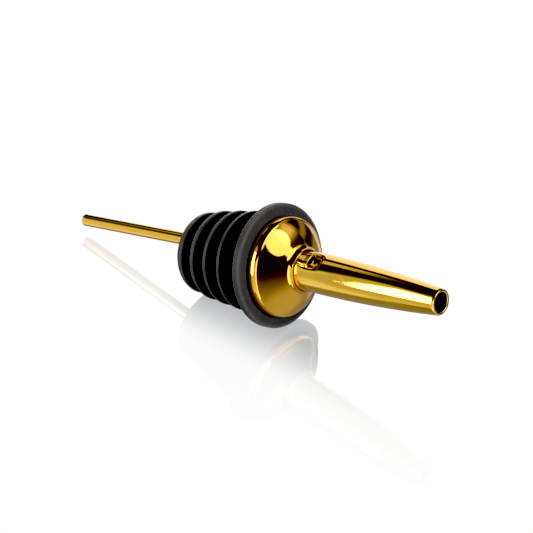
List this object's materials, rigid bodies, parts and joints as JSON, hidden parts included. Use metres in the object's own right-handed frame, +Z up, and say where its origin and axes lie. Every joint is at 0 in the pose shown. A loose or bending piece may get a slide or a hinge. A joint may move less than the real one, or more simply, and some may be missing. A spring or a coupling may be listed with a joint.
{
  "type": "liquor pour spout",
  "caption": "Free-flow liquor pour spout: finned rubber stopper on a tapered metal spout with a domed collar and a long breather tube.",
  "frame": {"origin": "where the stopper's axis meets the flange's rear face, which rests on the bottle's lip", "axes": "+X along the stopper's axis towards the spout's tip, +Z up as the pourer lies on a bar, +Y to the left seen from behind"},
  "size_m": [0.1186, 0.03, 0.03],
  "materials": {
    "black_rubber": "matt moulded rubber",
    "gold_collar": "mirror-polished gold plate",
    "gold_spout": "mirror-polished gold plate",
    "gold_vent": "drawn tube with gold plate, fine lines along it",
    "gold_solder": "plated solder, slightly uneven"
  },
  "bodies": {
    "stopper": {"rubber_stopper": "black_rubber"},
    "metal_unit": {"collar": "gold_collar", "collar_solder": "gold_solder", "spout_tube": "gold_spout", "vent_tube": "gold_vent", "vent_solder": "gold_solder"}
  },
  "joints": [
    {"name": "stopper_pull_off", "type": "slide", "parent": "stopper", "child": "metal_unit", "axis": [1, 0, 0], "range_m": [0, 0.024]}
  ]
}
